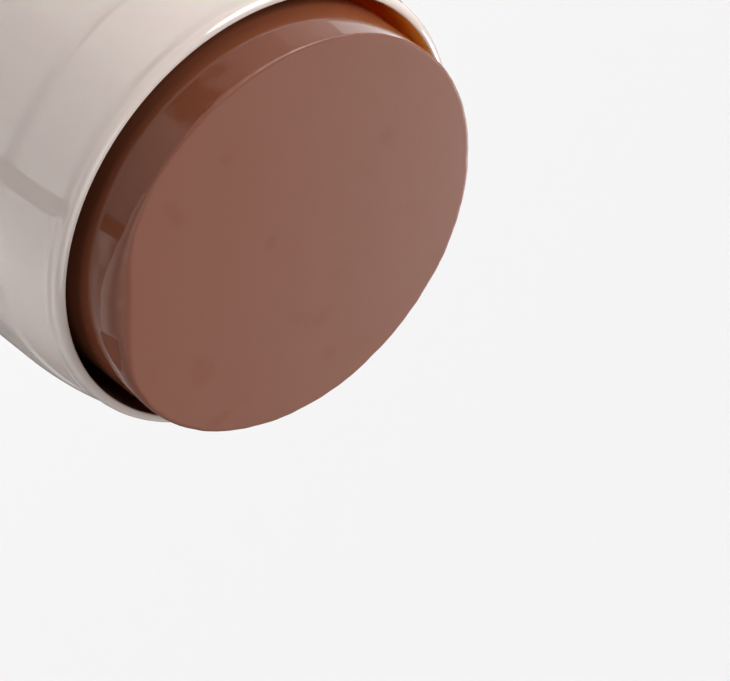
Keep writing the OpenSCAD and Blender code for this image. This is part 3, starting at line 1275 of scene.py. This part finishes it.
@dataclass(frozen=True)
class Card:
    """A studio card that lies on the floor, and that only glossy surfaces see.

    It covers a sector of some rings round the stick: azimuths in degrees from +X, and each ring's
    inner and outer radius in millimetres. An inner radius may be several, for even steps of the
    azimuth. A mirror shows the glow, which may go evenly from one at the first azimuth to another
    at the last. The lift lays one card on another.
    """

    name: str
    azimuths: tuple[float, float]
    rings: tuple[tuple[float | tuple[float, ...], float], ...]
    glow: float
    end_glow: float | None = None
    lift: float = 0.1
    steps: int = 60

    def paint(self) -> bpy.types.Material:
        """Makes the card's glow, which follows the angle round the axis.

        Returns:
            The material.
        """
        paint = bpy.data.materials.new(self.name)
        tree = NodeTree.bare(paint)
        x, y, _ = tree.parts()
        turn = tree.math("ARCTAN2", y, x)
        ends = [math.radians(a) for a in self.azimuths]
        last = self.glow if self.end_glow is None else self.end_glow
        level = tree.add("MapRange", dict(enumerate((turn, *ends, self.glow, last)))).outputs[0]
        shown = tree.add("Emission", {"Color": (1.0, 1.0, 1.0, 1.0), "Strength": level})
        tree.add("OutputMaterial", {"Surface": shown.outputs[0]})
        return paint

    def make(self) -> bpy.types.Object:
        """Makes the card.

        Formula: (r cos a, r sin a, lift), where r goes from the inner to the outer radius.

        Returns:
            The card.
        """
        share = np.linspace(0, 1, self.steps + 1)
        turn = np.radians(self.azimuths[0] + share * (self.azimuths[1] - self.azimuths[0]))
        points, quads = [], []
        for inner, outer in self.rings:
            given = np.atleast_1d(inner)
            edge = np.interp(share, np.linspace(0, 1, len(given)), given)
            first = sum(map(len, points)) + np.arange(len(turn) - 1)
            second = first + len(turn)
            quads.append(np.stack([first, second, second + 1, first + 1], axis=1))
            for radius in (edge, np.full_like(edge, outer)):
                points.append(np.stack([radius * np.cos(turn), radius * np.sin(turn),
                                        np.full_like(radius, self.lift)], axis=1))
        mesh = bpy.data.meshes.new(self.name)
        mesh.from_pydata((np.concatenate(points) * MM).tolist(), [], np.concatenate(quads).tolist())
        mesh.materials.append(self.paint())
        card = put(self.name, mesh)
        card.visible_camera = card.visible_diffuse = card.visible_shadow = False
        card.visible_transmission = card.visible_volume_scatter = False
        return card


@dataclass(frozen=True)
class Studio:
    """A pale floor under a plain sky, with soft lamps and a few cards.

    The sky's radiance for diffuse rays is the sum of each sky lobe times the direction's part
    along that axis, where it is above zero. What looks at it straight sees plain paper white, and
    what mirrors it sees the plain level sky_mirror.
    """

    floor_reach: float = 6.0
    paper_tint: Colour = (1.0, 0.995, 1.0)
    sky_tint: Colour = (1.0, 0.997, 1.0)
    sky_lobes: Colour = (0.21, 0.0, 0.10)
    sky_mirror: float = 0.36
    lamps: tuple[Lamp, ...] = (
        Lamp("key", azimuth=190, height=32, width=50, level=0.54),
        Lamp("fill", azimuth=-15, height=62, width=50, level=0.21),
        Lamp("sheen", azimuth=105, height=18, width=22, level=0.125))
    cards: tuple[Card, ...] = (
        Card("dark_strip", (-44.2, -35.3), ((50, 300),), glow=0.05, lift=0.15),
        Card("rising_card", (-35.3, -5), ((50, 75.5), (84, 262)), glow=0.90, end_glow=1.35),
        Card("falling_card", (-5, 40), ((50, 75.5), (82, 262)), glow=1.35, end_glow=0.15),
        Card("middle_card", (-88, -44.2), ((50, 76), (90, 300)), glow=0.80, end_glow=0.98),
        Card("faint_card", (-97, -88), ((50, 76), (90, 300)), glow=0.72),
        Card("low_card", (40, 60), ((50, 75.5), (82, 500)), glow=0.15, end_glow=0.20),
        Card("lower_card", (60, 125), ((50, 500),), glow=0.20, end_glow=0.30),
        Card("dusk_card", (-97, -44.2), ((76, 90),), glow=0.58, end_glow=0.34),
        Card("dim_card", (-35.3, 60), ((75.5, 82),), glow=0.26, end_glow=0.62),
        Card("streak_card", (-165, -97), ((79, 87.5),), glow=0.62, end_glow=0.50),
        Card("dark_patch", (-138, -98), (((85.6, 84.2, 83.9, 83.6, 82.2, 82.0, 82.1, 83.1, 84.6), 87.5),),
             glow=0.0, lift=0.2),
        Card("half_card", (-180, -165), ((77, 87.5),), glow=0.85),
        Card("pale_card", (125, 165), ((73.5, 88),), glow=1.6))

    def floor(self) -> bpy.types.Object:
        """Makes the floor, a square of matt paper at the height that the stick stands on.

        Returns:
            The floor.
        """
        corners = [(x * self.floor_reach, y * self.floor_reach, 0)
                   for x, y in ((-1, -1), (1, -1), (1, 1), (-1, 1))]
        mesh = bpy.data.meshes.new("floor")
        mesh.from_pydata(corners, [], [(0, 1, 2, 3)])
        paper = bpy.data.materials.new("floor_paper")
        paper.use_nodes = True
        shader = paper.node_tree.nodes["Principled BSDF"]
        shader.inputs["Base Color"].default_value = (*(PAPER_WHITE * c for c in self.paper_tint), 1)
        shader.inputs["Roughness"].default_value = 1.0
        shader.inputs["Specular IOR Level"].default_value = 0.0
        mesh.materials.append(paper)
        floor = put("floor", mesh)
        return floor

    def sky(self) -> bpy.types.World:
        """Makes the world.

        Returns:
            The world, whose light leans, and which looks plain straight and in mirrors.
        """
        world = bpy.data.worlds.new("studio_sky")
        tree = NodeTree.bare(world)
        ray = tree.add("LightPath").outputs
        level: Feed = 0.0
        for part, lobe in zip(tree.parts("Generated"), self.sky_lobes):
            lit = tree.math("MAXIMUM", tree.math("MULTIPLY", part, lobe), 0.0)
            level = tree.math("ADD", level, lit)
        mirrored = tree.math("MULTIPLY", ray["Is Glossy Ray"], self.sky_mirror)
        seen = tree.math("MAXIMUM", ray["Is Camera Ray"], ray["Is Transmission Ray"])
        plain = tree.math("MAXIMUM", mirrored, tree.math("MULTIPLY", seen, PAPER_WHITE))
        hidden = tree.math("SUBTRACT", 1.0, tree.math("MAXIMUM", seen, ray["Is Glossy Ray"]))
        strength = tree.math("ADD", tree.math("MULTIPLY", level, hidden), plain)
        shown = tree.add("Background", {"Color": (*self.sky_tint, 1.0), "Strength": strength})
        tree.add("OutputWorld", {"Surface": shown.outputs[0]})
        bpy.context.scene.world = world
        return world

    def build(self) -> None:
        """Makes the floor, the sky, the lamps and the cards."""
        self.floor()
        self.sky()
        for thing in self.lamps + self.cards:
            thing.make()


def main() -> None:
    """Builds the view, the studio and the stick, in that order."""
    logging.basicConfig(level=logging.INFO, format="%(name)s: %(message)s")
    scene = bpy.context.scene
    scene.view_settings.view_transform = "Standard"
    Viewpoint().place()
    Studio().build()
    effects = Effects()
    for sub_assembly in (Tube(effects), Bronzer(effects), Knob(effects), FootDisc(effects)):
        sub_assembly.build()
    InnerWorks(effects).dress()


if __name__ == "__main__":
    main()
